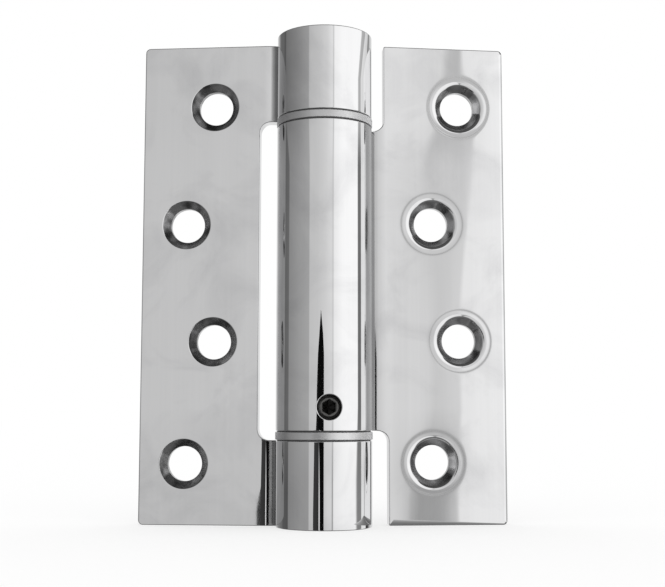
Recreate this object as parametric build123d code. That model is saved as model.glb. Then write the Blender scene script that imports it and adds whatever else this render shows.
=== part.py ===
from build123d import *
import os
from math import atan2, degrees, radians, sqrt, tan

# Single-action spring hinge, in millimetres. +Z runs up the pin axis and the origin is on that axis,
# level with the lower edges of the leaves. The frame leaf lies along -X with its front face
# towards -Y. The door leaf lies on the +X side, opened a little past flat.

# Leaves
leaf_height = 102.0
leaf_width = 39.1
sheet = 3.0
face_setback = 0.7
opened_past_flat = 11.8
leaf_corner_radius = 0.8
front_edge_radius = 0.9
back_edge_radius = 0.3

# Rolled knuckles, made from the same sheet as the leaves
barrel_radius = 10.0
root_bend_radius = 7.0
seam_gap = 0.3
end_knuckle_length = 17.6
top_knuckle_rise = 0.9
rim_chamfer = 0.3

# Cut-outs beside the knuckles, measured from the pin axis
frame_cutout_reach = 14.0
upper_notch_reach = 12.85
lower_notch_reach = 13.75
cutout_corner_radius = 2.3

# Screw holes, in two columns on each leaf
frame_near_column = 23.7
frame_far_column = 29.6
door_near_column = 23.2
door_far_column = 29.1
inner_row_pitch = 25.0
outer_row_pitch = 25.55
frame_row_drop = 0.3
screw_hole_radius = 3.65
countersink_radius = 5.2
countersink_angle = 90.0

# Bearing rings between the knuckles, with a thin washer on each side of each ring
ring_height = 1.6
ring_proud = 0.1
ring_edge_chamfer = 0.15
washer_thickness = 0.2
washer_recess = 0.3

# Fits
press_clearance = 0.02
running_clearance = 0.06
end_clearance = 0.2

# Pivots inside the barrel
bush_wall = 1.5
spindle_recess = 0.5
spindle_head_chamfer = 0.6
upper_bush_length = 8.0
spindle_below_bush = 4.0
lower_bush_recess = 0.4
thrust_washer_thickness = 0.8

# Tension adjuster and its lock
adjuster_recess = 2.4
adjuster_drum_height = 11.0
key_socket_across_flats = 6.0
key_socket_depth = 8.0
lock_band_depth = 1.5
lock_band_half_height = 2.6
grub_above_knuckle_end = 4.8
grub_radius = 2.45
grub_recess = 0.45
grub_hole_clearance = 0.05
grub_tip_clearance = 0.15
grub_chamfer = 0.35
grub_socket_across_flats = 2.5
grub_socket_depth = 1.8
grub_cup_radius = 1.5
grub_cup_depth = 0.7

# Torsion spring of flat wire wound on edge, with the rod inside it and the liner round it
wire_thickness = 1.7
wire_height = 3.0
least_coil_gap = 0.3
spring_radial_clearance = 0.3
spring_end_gap = 1.0
tang_thickness = 1.3
tang_width = 1.9
tang_depth = 3.0
tang_clearance = 0.15
liner_wall = 0.7
rod_clearance = 0.9
rod_seat_depth = 6.0
rod_chamfer = 0.4

# Length by which a cutter runs past the face it opens
overcut = 1.0

# Heights of the stack along the barrel, from the bottom up
barrel_height = leaf_height + top_knuckle_rise
bearing_height = ring_height + 2 * washer_thickness
lower_knuckle_top = end_knuckle_length
centre_knuckle_bottom = lower_knuckle_top + bearing_height
upper_knuckle_bottom = barrel_height - end_knuckle_length
centre_knuckle_top = upper_knuckle_bottom - bearing_height

# The sheet's back face, and the centre of the bend that leads it into the roll
back_face = face_setback + sheet
bore_radius = barrel_radius - sheet
bend_centre_y = back_face + root_bend_radius
bend_reach = barrel_radius + root_bend_radius
bend_centre_x = -sqrt(bend_reach**2 - bend_centre_y**2)
bend_sweep = degrees(atan2(-bend_centre_x, bend_centre_y))

# Heights of the pieces inside the barrel
thrust_washer_top = centre_knuckle_bottom + thrust_washer_thickness
adjuster_top = thrust_washer_top + adjuster_drum_height
upper_bush_bottom = centre_knuckle_top - upper_bush_length
spindle_bottom = upper_bush_bottom - spindle_below_bush
grub_height = centre_knuckle_bottom + grub_above_knuckle_end

# Radii of the pivots, from the bore inwards
seated_radius = bore_radius - press_clearance
drum_radius = bore_radius - running_clearance
bearing_bore_radius = seated_radius - bush_wall
journal_radius = bearing_bore_radius - running_clearance
lock_band_radius = drum_radius - lock_band_depth
grub_tip_radius = lock_band_radius + grub_tip_clearance
grub_length = barrel_radius - grub_recess - grub_tip_radius

# The spring fills the room left for it with whole turns, so that its two tangs are in line
liner_inner_radius = seated_radius - liner_wall
coil_radius = liner_inner_radius - spring_radial_clearance - wire_thickness / 2
rod_radius = coil_radius - wire_thickness / 2 - rod_clearance
coil_bottom = adjuster_top + spring_end_gap + wire_height / 2
coil_top = spindle_bottom - spring_end_gap - wire_height / 2
coil_rise = coil_top - coil_bottom
spring_turns = int(coil_rise / (wire_height + least_coil_gap))

# Heights of the four screws on each leaf, from the top down
leaf_middle = leaf_height / 2
row_heights = [
    leaf_middle + inner_row_pitch / 2 + outer_row_pitch,
    leaf_middle + inner_row_pitch / 2,
    leaf_middle - inner_row_pitch / 2,
    leaf_middle - inner_row_pitch / 2 - outer_row_pitch,
]


def rod(radius, low, high, end_chamfer=0.0):
    """Round bar on the pin axis between two heights."""
    bar = Pos(0, 0, (low + high) / 2) * Cylinder(radius, high - low)
    if end_chamfer:
        bar = chamfer(bar.edges().filter_by(GeomType.CIRCLE), end_chamfer)
    return bar


def tube(outer, inner, low, high, end_chamfer=0.0):
    """Round bar with a bore right through it."""
    return rod(outer, low, high, end_chamfer) - rod(inner, low - overcut, high + overcut)


def block(x_range, y_range, z_range):
    """Box given by its low and high ends along X, Y and Z."""
    ranges = (x_range, y_range, z_range)
    middle = [(low + high) / 2 for low, high in ranges]
    return Pos(*middle) * Box(*[high - low for low, high in ranges])


def leaf_sheet():
    """Flat leaf along -X and the bend that leads it round the back of the barrel, in plan."""
    with BuildSketch() as plan:
        with BuildLine():
            front = Line((-leaf_width, face_setback), (bend_centre_x, face_setback))
            outer_bend = CenterArc((bend_centre_x, bend_centre_y), root_bend_radius + sheet, -90, bend_sweep)
            inner_bend = CenterArc((bend_centre_x, bend_centre_y), root_bend_radius, -90, bend_sweep)
            Line(outer_bend @ 1, inner_bend @ 1)
            back = Line((bend_centre_x, back_face), (-leaf_width, back_face))
            Line(back @ 1, front @ 0)
        make_face()
        outer_corners = plan.vertices().group_by(Axis.X)[0].sort_by(Axis.Y)
        fillet(outer_corners[0], front_edge_radius)
        fillet(outer_corners[1], back_edge_radius)
    return extrude(plan.sketch, leaf_height)


def seam(low, high):
    """Slot between the end of the roll and the bend that it closes on."""
    bend_outer = root_bend_radius + sheet
    ring = Circle(bend_outer + seam_gap) - Circle(bend_outer)
    slot = extrude(Pos(bend_centre_x, bend_centre_y, low) * ring, high - low)
    meets_bore = bore_radius * bend_centre_y / bend_reach
    window = block((-barrel_radius - overcut, 0), (-overcut, meets_bore), (low, high))
    return slot & window


def cutout(reach, low, high):
    """Opening beside a knuckle, from the pin axis out to its reach, with rounded outer corners."""
    opening = block((-reach, barrel_radius + overcut), (-barrel_radius, bend_centre_y), (low, high))
    outer_corners = opening.edges().filter_by(Axis.Y).group_by(Axis.X)[0]
    return fillet(outer_corners, cutout_corner_radius)


def outer_corner_trim():
    """Everything outside the leaf's rounded corners, seen from the front."""
    side = 2 * leaf_height
    blank = block((-leaf_width, side), (-side, side), (0, leaf_height))
    corners = blank.edges().filter_by(Axis.Y).group_by(Axis.X)[0]
    kept = fillet(corners, leaf_corner_radius)
    surround = block((-side, side), (-side / 2, side / 2), (-side, side))
    return surround - kept


def screw_hole(column, height):
    """Countersunk hole through a leaf that lies along -X, opening on its front face."""
    cone_height = (countersink_radius - screw_hole_radius) / tan(radians(countersink_angle / 2))
    shank = Pos(0, 0, -sheet / 2) * Cylinder(screw_hole_radius, sheet + 2 * overcut)
    head = Pos(0, 0, -cone_height / 2) * Cone(screw_hole_radius, countersink_radius, cone_height)
    front = Plane(origin=(-column, face_setback, height), x_dir=(1, 0, 0), z_dir=(0, -1, 0))
    return front * (shank + head)


def leaf(cutouts, knuckles, columns, row_drop=0.0):
    """Sheet with its cut-outs, its rolled knuckles and a countersunk hole in each row."""
    body = leaf_sheet() - outer_corner_trim()
    for reach, low, high in cutouts:
        body -= cutout(reach, low, high)
    for low, high in knuckles:
        body += rod(barrel_radius, low, high, rim_chamfer)
    for low, high in knuckles:
        body -= rod(bore_radius, low - overcut, high + overcut)
        body -= seam(low, high)
    for column, height in zip(columns, row_heights):
        body -= screw_hole(column, height - row_drop)
    return body


def frame_leaf():
    """Leaf with the two end knuckles."""
    return leaf(
        cutouts=[(frame_cutout_reach, lower_knuckle_top, upper_knuckle_bottom)],
        knuckles=[(0, lower_knuckle_top), (upper_knuckle_bottom, barrel_height)],
        columns=[frame_near_column, frame_far_column, frame_near_column, frame_far_column],
        row_drop=frame_row_drop,
    )


def opened(piece):
    """Turn a piece made in the flat position to where the door leaf stands."""
    return Rot(0, 0, opened_past_flat) * piece


def door_leaf():
    """Leaf with the centre knuckle, which holds the spring and the grub screw."""
    past_end = cutout_corner_radius + overcut
    flat = leaf(
        cutouts=[
            (upper_notch_reach, centre_knuckle_top, leaf_height + past_end),
            (lower_notch_reach, -past_end, centre_knuckle_bottom),
        ],
        knuckles=[(centre_knuckle_bottom, centre_knuckle_top)],
        columns=[door_far_column, door_near_column, door_far_column, door_near_column],
    )
    across = barrel_radius + overcut
    screw_way = Pos(0, -across / 2, grub_height) * Rot(90, 0, 0)
    screw_way *= Cylinder(grub_radius + grub_hole_clearance, across)
    return opened(mirror(flat, about=Plane.YZ) - screw_way)


def bearing_ring(low):
    """Polished ring between two knuckles."""
    outer = barrel_radius + ring_proud
    return tube(outer, bearing_bore_radius, low, low + ring_height, ring_edge_chamfer)


def thin_washer(low):
    """Washer set back from the barrel's surface, which shows as a dark line."""
    outer = barrel_radius - washer_recess
    return tube(outer, bearing_bore_radius, low, low + washer_thickness)


def hexagon(across_flats):
    """Outline of a key socket."""
    return RegularPolygon(across_flats / 2, 6, major_radius=False)


def tang_slot(low, high, y_low, y_high):
    """Radial slot for one end of the spring, open to the side."""
    inner_edge = coil_radius - tang_thickness / 2 - tang_clearance
    y_range = (y_low - tang_clearance, y_high + tang_clearance)
    return block((inner_edge, barrel_radius), y_range, (low, high))


def upper_spindle():
    """Plug that fills the upper knuckle and carries the pivot and the spring's upper end."""
    head_top = barrel_height - spindle_recess
    head = rod(seated_radius, upper_knuckle_bottom, head_top)
    head = chamfer(head.edges().filter_by(GeomType.CIRCLE).group_by(Axis.Z)[-1], spindle_head_chamfer)
    pivot = rod(journal_radius, spindle_bottom, upper_knuckle_bottom)
    seat_top = spindle_bottom + rod_seat_depth
    seat = rod(rod_radius + press_clearance, spindle_bottom - overcut, seat_top)
    slot_top = spindle_bottom + tang_depth + tang_clearance
    slot = tang_slot(spindle_bottom - overcut, slot_top, -tang_width, 0)
    return head + pivot - seat - slot


def upper_bush():
    """Plain bearing in the top of the centre knuckle."""
    return tube(seated_radius, bearing_bore_radius, upper_bush_bottom, centre_knuckle_top)


def lower_bush():
    """Plain bearing in the lower knuckle, open below for the key."""
    return tube(seated_radius, bearing_bore_radius, lower_bush_recess, lower_knuckle_top)


def thrust_washer():
    """Washer that the adjuster's drum turns on."""
    return tube(drum_radius, bearing_bore_radius, centre_knuckle_bottom, thrust_washer_top)


def tension_adjuster():
    """Stepped drum with a key socket below, a band for the grub screw and a slot for the spring."""
    stem = rod(journal_radius, adjuster_recess, thrust_washer_top)
    drum = rod(drum_radius, thrust_washer_top, adjuster_top)
    band_range = (grub_height - lock_band_half_height, grub_height + lock_band_half_height)
    band = tube(drum_radius + overcut, lock_band_radius, *band_range)
    socket_mouth = Pos(0, 0, adjuster_recess) * hexagon(key_socket_across_flats)
    socket = extrude(socket_mouth, key_socket_depth)
    seat_radius = rod_radius + running_clearance
    seat = rod(seat_radius, adjuster_top - rod_seat_depth, adjuster_top + overcut)
    slot_bottom = adjuster_top - tang_depth - tang_clearance
    slot = tang_slot(slot_bottom, adjuster_top + overcut, 0, tang_width)
    return stem + drum - band - socket - seat - slot


def torsion_spring():
    """Coil of flat wire with a straight tang at each end, parallel to the pin axis."""
    path = Pos(0, 0, coil_bottom) * Helix(coil_rise / spring_turns, coil_rise, coil_radius)
    start = Plane(origin=path @ 0, x_dir=(1, 0, 0), z_dir=path % 0)
    coil = sweep(start * Rectangle(wire_thickness, wire_height), path=path, is_frenet=True)
    across = (coil_radius - tang_thickness / 2, coil_radius + tang_thickness / 2)
    lower_tang = block(across, (0, tang_width), (adjuster_top - tang_depth, coil_bottom))
    upper_tang = block(across, (-tang_width, 0), (coil_top, spindle_bottom + tang_depth))
    return coil + lower_tang + upper_tang


def guide_rod():
    """Rod that keeps the coil straight, seated in the spindle and the adjuster."""
    low = adjuster_top - rod_seat_depth + end_clearance
    high = spindle_bottom + rod_seat_depth - end_clearance
    return rod(rod_radius, low, high, rod_chamfer)


def spring_liner():
    """Plastic liner between the coil and the wall of the centre knuckle."""
    low = adjuster_top + end_clearance
    high = upper_bush_bottom - end_clearance
    return tube(seated_radius, liner_inner_radius, low, high)


def grub_screw():
    """Socket set screw with a cup point, pointing from the door leaf's front to the pin axis."""
    shank = Cylinder(grub_radius, grub_length)
    shank = chamfer(shank.edges().filter_by(GeomType.CIRCLE), grub_chamfer)
    socket_floor = Pos(0, 0, grub_length / 2 - grub_socket_depth) * hexagon(grub_socket_across_flats)
    socket = extrude(socket_floor, grub_socket_depth + overcut)
    cup = Pos(0, 0, (grub_cup_depth - grub_length) / 2) * Cone(grub_cup_radius, 0, grub_cup_depth)
    place = Pos(0, -grub_tip_radius - grub_length / 2, grub_height) * Rot(90, 0, 0)
    return opened(place * (shank - socket - cup))


pieces = {
    "frame_leaf": frame_leaf(),
    "door_leaf": door_leaf(),
    "upper_spindle": upper_spindle(),
    "upper_bush": upper_bush(),
    "lower_bush": lower_bush(),
    "thrust_washer": thrust_washer(),
    "tension_adjuster": tension_adjuster(),
    "torsion_spring": torsion_spring(),
    "guide_rod": guide_rod(),
    "spring_liner": spring_liner(),
    "grub_screw": grub_screw(),
}
for level, bottom in (("lower", lower_knuckle_top), ("upper", centre_knuckle_top)):
    ring_bottom = bottom + washer_thickness
    pieces[f"{level}_bearing_ring"] = bearing_ring(ring_bottom)
    pieces[f"{level}_washer_below_ring"] = thin_washer(bottom)
    pieces[f"{level}_washer_above_ring"] = thin_washer(ring_bottom + ring_height)

os.makedirs("parts", exist_ok=True)
for name, piece in pieces.items():
    export_step(piece, f"parts/{name}.step")
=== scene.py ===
from math import acos, atan2, cos, pi, radians, sin, sqrt, tan

import bmesh
import bpy
import numpy as np
from bpy.props import FloatProperty, FloatVectorProperty, PointerProperty
from mathutils.geometry import delaunay_2d_cdt
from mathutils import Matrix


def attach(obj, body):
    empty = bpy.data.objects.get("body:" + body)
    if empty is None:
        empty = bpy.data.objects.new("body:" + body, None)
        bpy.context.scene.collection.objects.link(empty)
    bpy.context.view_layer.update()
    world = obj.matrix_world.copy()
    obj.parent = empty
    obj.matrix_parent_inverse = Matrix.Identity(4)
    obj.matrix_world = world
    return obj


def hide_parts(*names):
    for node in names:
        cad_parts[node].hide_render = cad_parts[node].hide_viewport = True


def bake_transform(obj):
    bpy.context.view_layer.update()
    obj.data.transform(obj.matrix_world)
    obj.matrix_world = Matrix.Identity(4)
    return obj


bl_info = {
    "name": "Spring Hinge",
    "version": (1, 0, 0),
    "blender": (4, 5, 0),
    "location": "3D View > Sidebar > Hinge",
    "description": "Polished single-action spring hinge with rolled knuckles, and its studio",
    "category": "Object",
}

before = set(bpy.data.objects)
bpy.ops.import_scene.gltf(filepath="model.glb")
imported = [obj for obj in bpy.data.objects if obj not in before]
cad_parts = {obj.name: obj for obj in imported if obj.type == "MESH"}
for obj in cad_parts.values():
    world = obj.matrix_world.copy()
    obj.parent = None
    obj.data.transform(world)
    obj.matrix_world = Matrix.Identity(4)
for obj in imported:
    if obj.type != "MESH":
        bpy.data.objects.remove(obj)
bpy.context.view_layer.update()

# Length of a millimetre in the scene
MM = 0.001

# Sizes of the part in millimetres, given or worked out in its source
LEAF_HEIGHT = 102.0
LEAF_WIDTH = 39.1
SHEET = 3.0
FACE_SETBACK = 0.7
OPENED_PAST_FLAT = radians(11.8)
BARREL_RADIUS = 10.0
BEND_RADIUS = 7.0
SEAM_GAP = 0.3
KNUCKLE_LENGTH = 17.6
KNUCKLE_RISE = 0.9
FRAME_CUTOUT = 14.0
UPPER_NOTCH = 12.85
LOWER_NOTCH = 13.75
CUTOUT_CORNER = 2.3
FRAME_COLUMNS = (23.7, 29.6, 23.7, 29.6)
DOOR_COLUMNS = (29.1, 23.2, 29.1, 23.2)
INNER_PITCH = 25.0
OUTER_PITCH = 25.55
FRAME_ROW_DROP = 0.3
HOLE_RADIUS = 3.65
SINK_RADIUS = 5.2
RING_HEIGHT = 1.6
RING_PROUD = 0.1
WASHER = 0.2
RING_BORE = 5.48
GRUB_RADIUS = 2.45
GRUB_HOLE = 2.5
GRUB_HEIGHT = 24.4
GRUB_FACE = 9.55
GRUB_TIP = 5.59
GRUB_FLATS = 2.5
GRUB_SOCKET = 1.8
GRUB_CUP = 1.5
GRUB_CUP_DEPTH = 0.7
GRUB_CHAMFER = 0.35

# Sizes in millimetres that the part's source leaves out or keeps simpler
LEAF_CORNER = 1.0
KNUCKLE_CORNER = 0.3
STEP_CORNER = 0.4
PRESS_WALL = 0.17
BORE_RIM = 0.12
GRUB_HOLE_INNER_RIM = 0.15
GRUB_HOLE_OUTER_RIM = 0.24
RING_INNER_EDGE = 0.1
RING_OUTER_EDGE = 0.18
GRUB_FACE_CHAMFER = 0.6
GRUB_LIP = 0.2
GRUB_CONE = 0.8
GRUB_PITCH = 0.8
GRUB_THREAD = 0.17
GRUB_THREAD_FADE = 0.25
PIVOT_EDGE = 0.045

# How finely the surfaces are divided: steps round a circle and an arc, and lengths in millimetres
AROUND = 96
RING_AROUND = 144
ARC_STEPS = 6
OUTLINE_STEP = 0.5
LATTICE_GAP = 0.3
RIM_MARGIN = 0.2
PRESS_RINGS = (-0.75, -0.45, -0.25, -0.12, 0.0, 0.12, 0.25, 0.45, 0.75, 1.1)

# Row of a countersink's profile at which its polished rim gives way to the bare cut
RIM_SHINE = 4.5

# Lattice of points on a face: how far it starts from the outer edge and from the ends in millimetres,
# and how many lines it has on the flat, the bend and the roll, and from end to end
LATTICE_START = 0.9
LATTICE_END = 0.45
FLAT_LINES = 30
BEND_LINES = 19
ROLL_LINES = 124
UP_LINES = 105

# Rows of the grub screw's thread
THREAD_ROWS = 41

# Steps in a millimetre to which points are rounded, so that equal ones are shared
POINT_STEPS = 2e4

# Merging, flattening and shading of the pieces that keep the part's own form
MERGE_DISTANCE = 0.002
FLAT_ANGLE = radians(0.5)
SHARP_ANGLE = radians(30)
BEVEL_ANGLE = radians(35)

# How near to a face of the sheet, in millimetres, a point has to be to lie on it
NEAR = 0.01

# Lengths that follow from the part's sizes
BARREL_HEIGHT = LEAF_HEIGHT + KNUCKLE_RISE
BORE_RADIUS = BARREL_RADIUS - SHEET
BEND_Y = FACE_SETBACK + SHEET + BEND_RADIUS
BEND_REACH = BARREL_RADIUS + BEND_RADIUS
BEND_X = -sqrt(BEND_REACH**2 - BEND_Y**2)
BEND_SWEEP = atan2(-BEND_X, BEND_Y)
MID_RADIUS = BORE_RADIUS + SHEET / 2
FLAT = LEAF_WIDTH + BEND_X
ROLL_START = FLAT + MID_RADIUS * BEND_SWEEP
ROLL_ANGLE = pi / 2 + BEND_SWEEP
LOWER_TOP = KNUCKLE_LENGTH
CENTRE_BOTTOM = LOWER_TOP + RING_HEIGHT + 2 * WASHER
UPPER_BOTTOM = BARREL_HEIGHT - KNUCKLE_LENGTH
CENTRE_TOP = UPPER_BOTTOM - RING_HEIGHT - 2 * WASHER
MIDDLE = LEAF_HEIGHT / 2
ROWS = (
    MIDDLE + INNER_PITCH / 2 + OUTER_PITCH,
    MIDDLE + INNER_PITCH / 2,
    MIDDLE - INNER_PITCH / 2,
    MIDDLE - INNER_PITCH / 2 - OUTER_PITCH,
)

# Turn about the pin axis that opens the door leaf past flat
DOOR_TURN = np.array([
    [cos(OPENED_PAST_FLAT), -sin(OPENED_PAST_FLAT), 0],
    [sin(OPENED_PAST_FLAT), cos(OPENED_PAST_FLAT), 0],
    [0, 0, 1],
])

# Where no wheel reaches, the chrome is made duller, and painted shade darkens it like the shade in the
# groove by the seam: how far round the roll the polish goes and how much duller and shaded the rest is,
# how much duller and shaded each leaf is before the seam's slot, how far past the flat that strip
# starts, and the length of its ramp
POLISHED_ROLL = radians(281)
ROLL_END_DULLING_AND_SHADE = 1.5
FRAME_CREASE_DULLING_AND_SHADE = 1.7
DOOR_CREASE_DULLING_AND_SHADE = 0.35
CREASE_START = 1.3
CREASE_RAMP = 0.5

# How bare the door leaf's countersinks are, against the frame leaf's
DOOR_CUT = 0.7

# Slow waves of a polished face: strength, turn for each millimetre along the blank and up it, and
# phase. They fade over a length before the bend.
WAVES = (
    (1.0, 0.21, 0.07, 0.0),
    (0.7, 0.33, -0.045, 1.7),
    (0.35, 0.5, 0.11, 0.6),
    (0.25, 0.62, 0.13, 2.9),
)
WAVE_FADE = 4.0


# Settings that a user may change


def length_setting(name, description, default, low, high):
    """Setting for a length, with its default, lowest and highest value in millimetres."""
    return FloatProperty(
        name=name,
        description=description,
        default=default * MM,
        min=low * MM,
        max=high * MM,
        unit="LENGTH",
    )


def colour_setting(name, description, default):
    """Setting for a colour."""
    return FloatVectorProperty(
        name=name,
        description=description,
        default=default,
        subtype="COLOR",
        min=0.0,
        max=1.0,
    )


def share_setting(name, description, default, high):
    """Setting for a share, from nothing up to a highest value."""
    return FloatProperty(
        name=name,
        description=description,
        default=default,
        min=0.0,
        max=high,
        subtype="FACTOR",
    )


class HingeLeafSettings(bpy.types.PropertyGroup):
    edge_radius: length_setting(
        "Edge radius",
        "Rounding left by the polish on the edges of the sheet",
        0.2, 0.05, 0.28,
    )
    frame_outer_edge: length_setting(
        "Outer edge, frame leaf",
        "Rounding down the outer front edge of the frame leaf",
        0.32, 0.2, 0.95,
    )
    door_outer_edge: length_setting(
        "Outer edge, door leaf",
        "Larger rounding down the outer front edge of the door leaf",
        0.9, 0.2, 0.95,
    )
    frame_rim_radius: length_setting(
        "Countersink rim, frame leaf",
        "Rounding between the frame leaf's face and its countersinks",
        0.3, 0.05, 1.0,
    )
    door_rim_radius: length_setting(
        "Countersink rim, door leaf",
        "Softer rounding between the door leaf's face and its countersinks",
        1.35, 0.05, 1.5,
    )
    door_press: length_setting(
        "Press mark on the door leaf",
        "Depth of the shallow dish that the countersinking tool pressed round each hole",
        0.018, 0.0, 0.15,
    )
    press_radius: length_setting(
        "Press mark radius",
        "Outer radius of the dish round a hole",
        6.65, 5.6, 9.0,
    )
    frame_wave: length_setting(
        "Wave of the frame leaf",
        "Height of the slow waves that hand polishing leaves in the frame leaf's face",
        0.003, 0.0, 0.05,
    )
    door_wave: length_setting(
        "Wave of the door leaf",
        "Height of the slow waves in the door leaf's face",
        0.009, 0.0, 0.05,
    )


class HingeFinishSettings(bpy.types.PropertyGroup):
    chrome: colour_setting(
        "Chrome",
        "Reflection colour of the polished leaves and barrel",
        (0.85, 0.85, 0.855),
    )
    ring: colour_setting(
        "Bearing ring",
        "Reflection colour of the turned bearing rings",
        (0.8, 0.8, 0.805),
    )
    screw: colour_setting(
        "Grub screw",
        "Colour of the dark oiled grub screw",
        (0.16, 0.158, 0.155),
    )
    steel: colour_setting(
        "Plated steel",
        "Colour of the zinc plated spindle and adjuster",
        (0.5, 0.51, 0.52),
    )
    spring: colour_setting(
        "Spring steel",
        "Colour of the oil tempered spring",
        (0.17, 0.165, 0.17),
    )
    brass: colour_setting(
        "Brass",
        "Colour of the bushes",
        (0.72, 0.5, 0.2),
    )
    plastic: colour_setting(
        "Liner plastic",
        "Colour of the spring's liner",
        (0.72, 0.7, 0.64),
    )
    washer: colour_setting(
        "Washer plastic",
        "Colour of the thin dark washers",
        (0.07, 0.07, 0.072),
    )
    gloss_loss: share_setting(
        "Smudges",
        "How much roughness fingers and polish leave on the chrome",
        0.05, 0.5,
    )


class HingeStageSettings(bpy.types.PropertyGroup):
    lens: FloatProperty(
        name="Lens",
        description="Focal length on a sensor 36 mm wide, in millimetres",
        default=65.45,
        min=20.0,
        max=200.0,
    )
    tent_radius: length_setting(
        "Tent radius",
        "Distance of the reflected tent from the pin axis",
        600.0, 300.0, 2000.0,
    )
    floor_size: length_setting(
        "Floor size",
        "Width of the plain floor",
        6000.0, 1000.0, 20000.0,
    )
    shadow: share_setting(
        "Shadow",
        "How strongly the object's shadow shows on the floor",
        0.35, 1.0,
    )
    floor: colour_setting(
        "Floor",
        "Colour of the floor and the background",
        (1.0, 1.0, 1.0),
    )


# Surfaces


class Skin:
    """Patches of one closed surface, kept as points, faces, a normal for each face corner and, for
    each point, three marks that its material reads: painted shade (round the holes and beside the seam),
    bare cut and length along the cut."""

    def __init__(self):
        self.points = []
        self.faces = []
        self.normals = []
        self.marks = []
        self.count = 0

    def add(self, points, normals, faces, marks=None):
        """Join a patch. Its faces are turned so that they look the way of the normals."""
        a, b, c = (points[faces[:, i]] for i in (0, 1, 2))
        looks = np.cross(b - a, c - a)
        if faces.shape[1] == 4:
            looks = looks + np.cross(c - a, points[faces[:, 3]] - a)
        wrong = np.einsum("ij,ij->i", looks, normals[faces].mean(axis=1)) < 0
        faces = faces.copy()
        faces[wrong] = faces[wrong][:, ::-1]
        self.points.append(points)
        self.faces.append(faces + self.count)
        self.normals.append(normals[faces])
        self.marks.append(np.zeros((len(points), 3)) if marks is None else marks)
        self.count += len(points)

    def add_flat(self, points, faces):
        """Join a patch whose faces are flat and already look outwards."""
        a, b, c = (points[faces[:, i]] for i in (0, 1, 2))
        looks = np.cross(b - a, c - a)
        looks /= np.linalg.norm(looks, axis=1, keepdims=True)
        self.points.append(points)
        self.faces.append(faces + self.count)
        self.normals.append(np.repeat(looks[:, None, :], faces.shape[1], axis=1))
        self.marks.append(np.zeros((len(points), 3)))
        self.count += len(points)

    def mesh(self, name):
        """One mesh in metres, with equal points shared between the patches."""
        points = np.concatenate(self.points)
        steps = np.round(points * POINT_STEPS).astype(np.int64)
        _, first, shared = np.unique(steps, axis=0, return_index=True, return_inverse=True)
        shared = shared.reshape(-1)
        corners = []
        faces = []
        for patch, normals in zip(self.faces, self.normals):
            faces.extend(shared[patch].tolist())
            corners.append(normals.reshape(-1, 3))
        mesh = bpy.data.meshes.new(name)
        mesh.from_pydata((points[first] * MM).tolist(), [], faces)
        corners = np.concatenate(corners)
        corners /= np.linalg.norm(corners, axis=1, keepdims=True)
        mesh.polygons.foreach_set("use_smooth", np.ones(len(faces), bool))
        mesh.normals_split_custom_set(corners.tolist())
        marks = np.concatenate(self.marks)[first]
        if marks.any():
            kept = mesh.attributes.new("marks", "FLOAT_COLOR", "POINT")
            colours = np.concatenate([marks, np.ones((len(marks), 1))], axis=1)
            kept.data.foreach_set("color", colours.astype(np.float32).ravel())
        return mesh


def grid_faces(rows, columns, closed):
    """Quads of a grid of points stored row by row, whose columns may close on themselves."""
    last = columns if closed else columns - 1
    row, column = np.meshgrid(np.arange(rows - 1), np.arange(last), indexing="ij")
    after = (column + 1) % columns
    quads = (
        row * columns + column,
        row * columns + after,
        (row + 1) * columns + after,
        (row + 1) * columns + column,
    )
    return np.stack([q.reshape(-1) for q in quads], axis=1)


def rounded_line(corners, radii, steps):
    """Closed line of straight sides whose corners are arcs: from a side's end, the arc turns about a
    centre at right angles to the side, by the angle between the two sides. Each side has its own number
    of steps. Returns the points and the normals on the right hand side of the way along it."""
    corners = np.asarray(corners, float)
    points = []
    normals = []
    neighbours = np.roll(corners, 1, axis=0), np.roll(corners, -1, axis=0)
    for here, last, ahead, radius in zip(corners, *neighbours, radii):
        before = (here - last) / np.linalg.norm(here - last)
        after = (ahead - here) / np.linalg.norm(ahead - here)
        turn = atan2(before[0] * after[1] - before[1] * after[0], before @ after)
        start = here - before * radius * tan(abs(turn) / 2)
        left = np.array([-before[1], before[0]]) * np.sign(turn)
        swing = np.linspace(0, turn, ARC_STEPS + 1)
        swung = np.array([[np.cos(swing), np.sin(swing)], [-np.sin(swing), np.cos(swing)]])
        points.append(start + left * radius + np.tensordot(-left * radius, swung, 1).T)
        normals.append(np.tensordot([before[1], -before[0]], swung, 1).T)
    full_points = []
    full_normals = []
    for i, count in enumerate(steps):
        start, end = points[i][-1], points[(i + 1) % len(points)][0]
        share = np.arange(1, count)[:, None] / count
        full_points += [points[i], start + (end - start) * share]
        full_normals += [normals[i], np.repeat(normals[i][-1:], len(share), axis=0)]
    return np.concatenate(full_points), np.concatenate(full_normals)


def side_steps(corners, spacing):
    """How many steps each straight side of a closed outline takes."""
    corners = np.asarray(corners, float)
    lengths = np.linalg.norm(np.roll(corners, -1, axis=0) - corners, axis=1)
    return np.maximum(1, np.round(lengths / spacing)).astype(int)


def corner_rows(turns):
    """Rows of a profile that goes round corners in the sheet. Each turn is a corner's place (inset,
    depth), its rounding and the range of angles: a point is the arc's centre plus the rounding times
    (-sin, -cos) of the angle, and its normal is that direction."""
    inset, depth, out, down = [], [], [], []
    for (corner_inset, corner_depth), rounding, start, end, steps in turns:
        angle = np.linspace(radians(start), radians(end), steps)
        half = tan(radians(end - start) / 2) * rounding
        first = np.array([-sin(radians(start)), -cos(radians(start))])
        along = np.array([-cos(radians(start)), sin(radians(start))])
        begin = np.array([corner_inset, corner_depth]) - along * half
        centre = begin - first * rounding
        inset.append(centre[0] - rounding * np.sin(angle))
        depth.append(centre[1] - rounding * np.cos(angle))
        out.append(np.sin(angle))
        down.append(-np.cos(angle))
    return [np.concatenate(rows)[:, None] for rows in (inset, depth, out, down)]


# The leaves, made as flat blanks and then rolled


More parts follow.
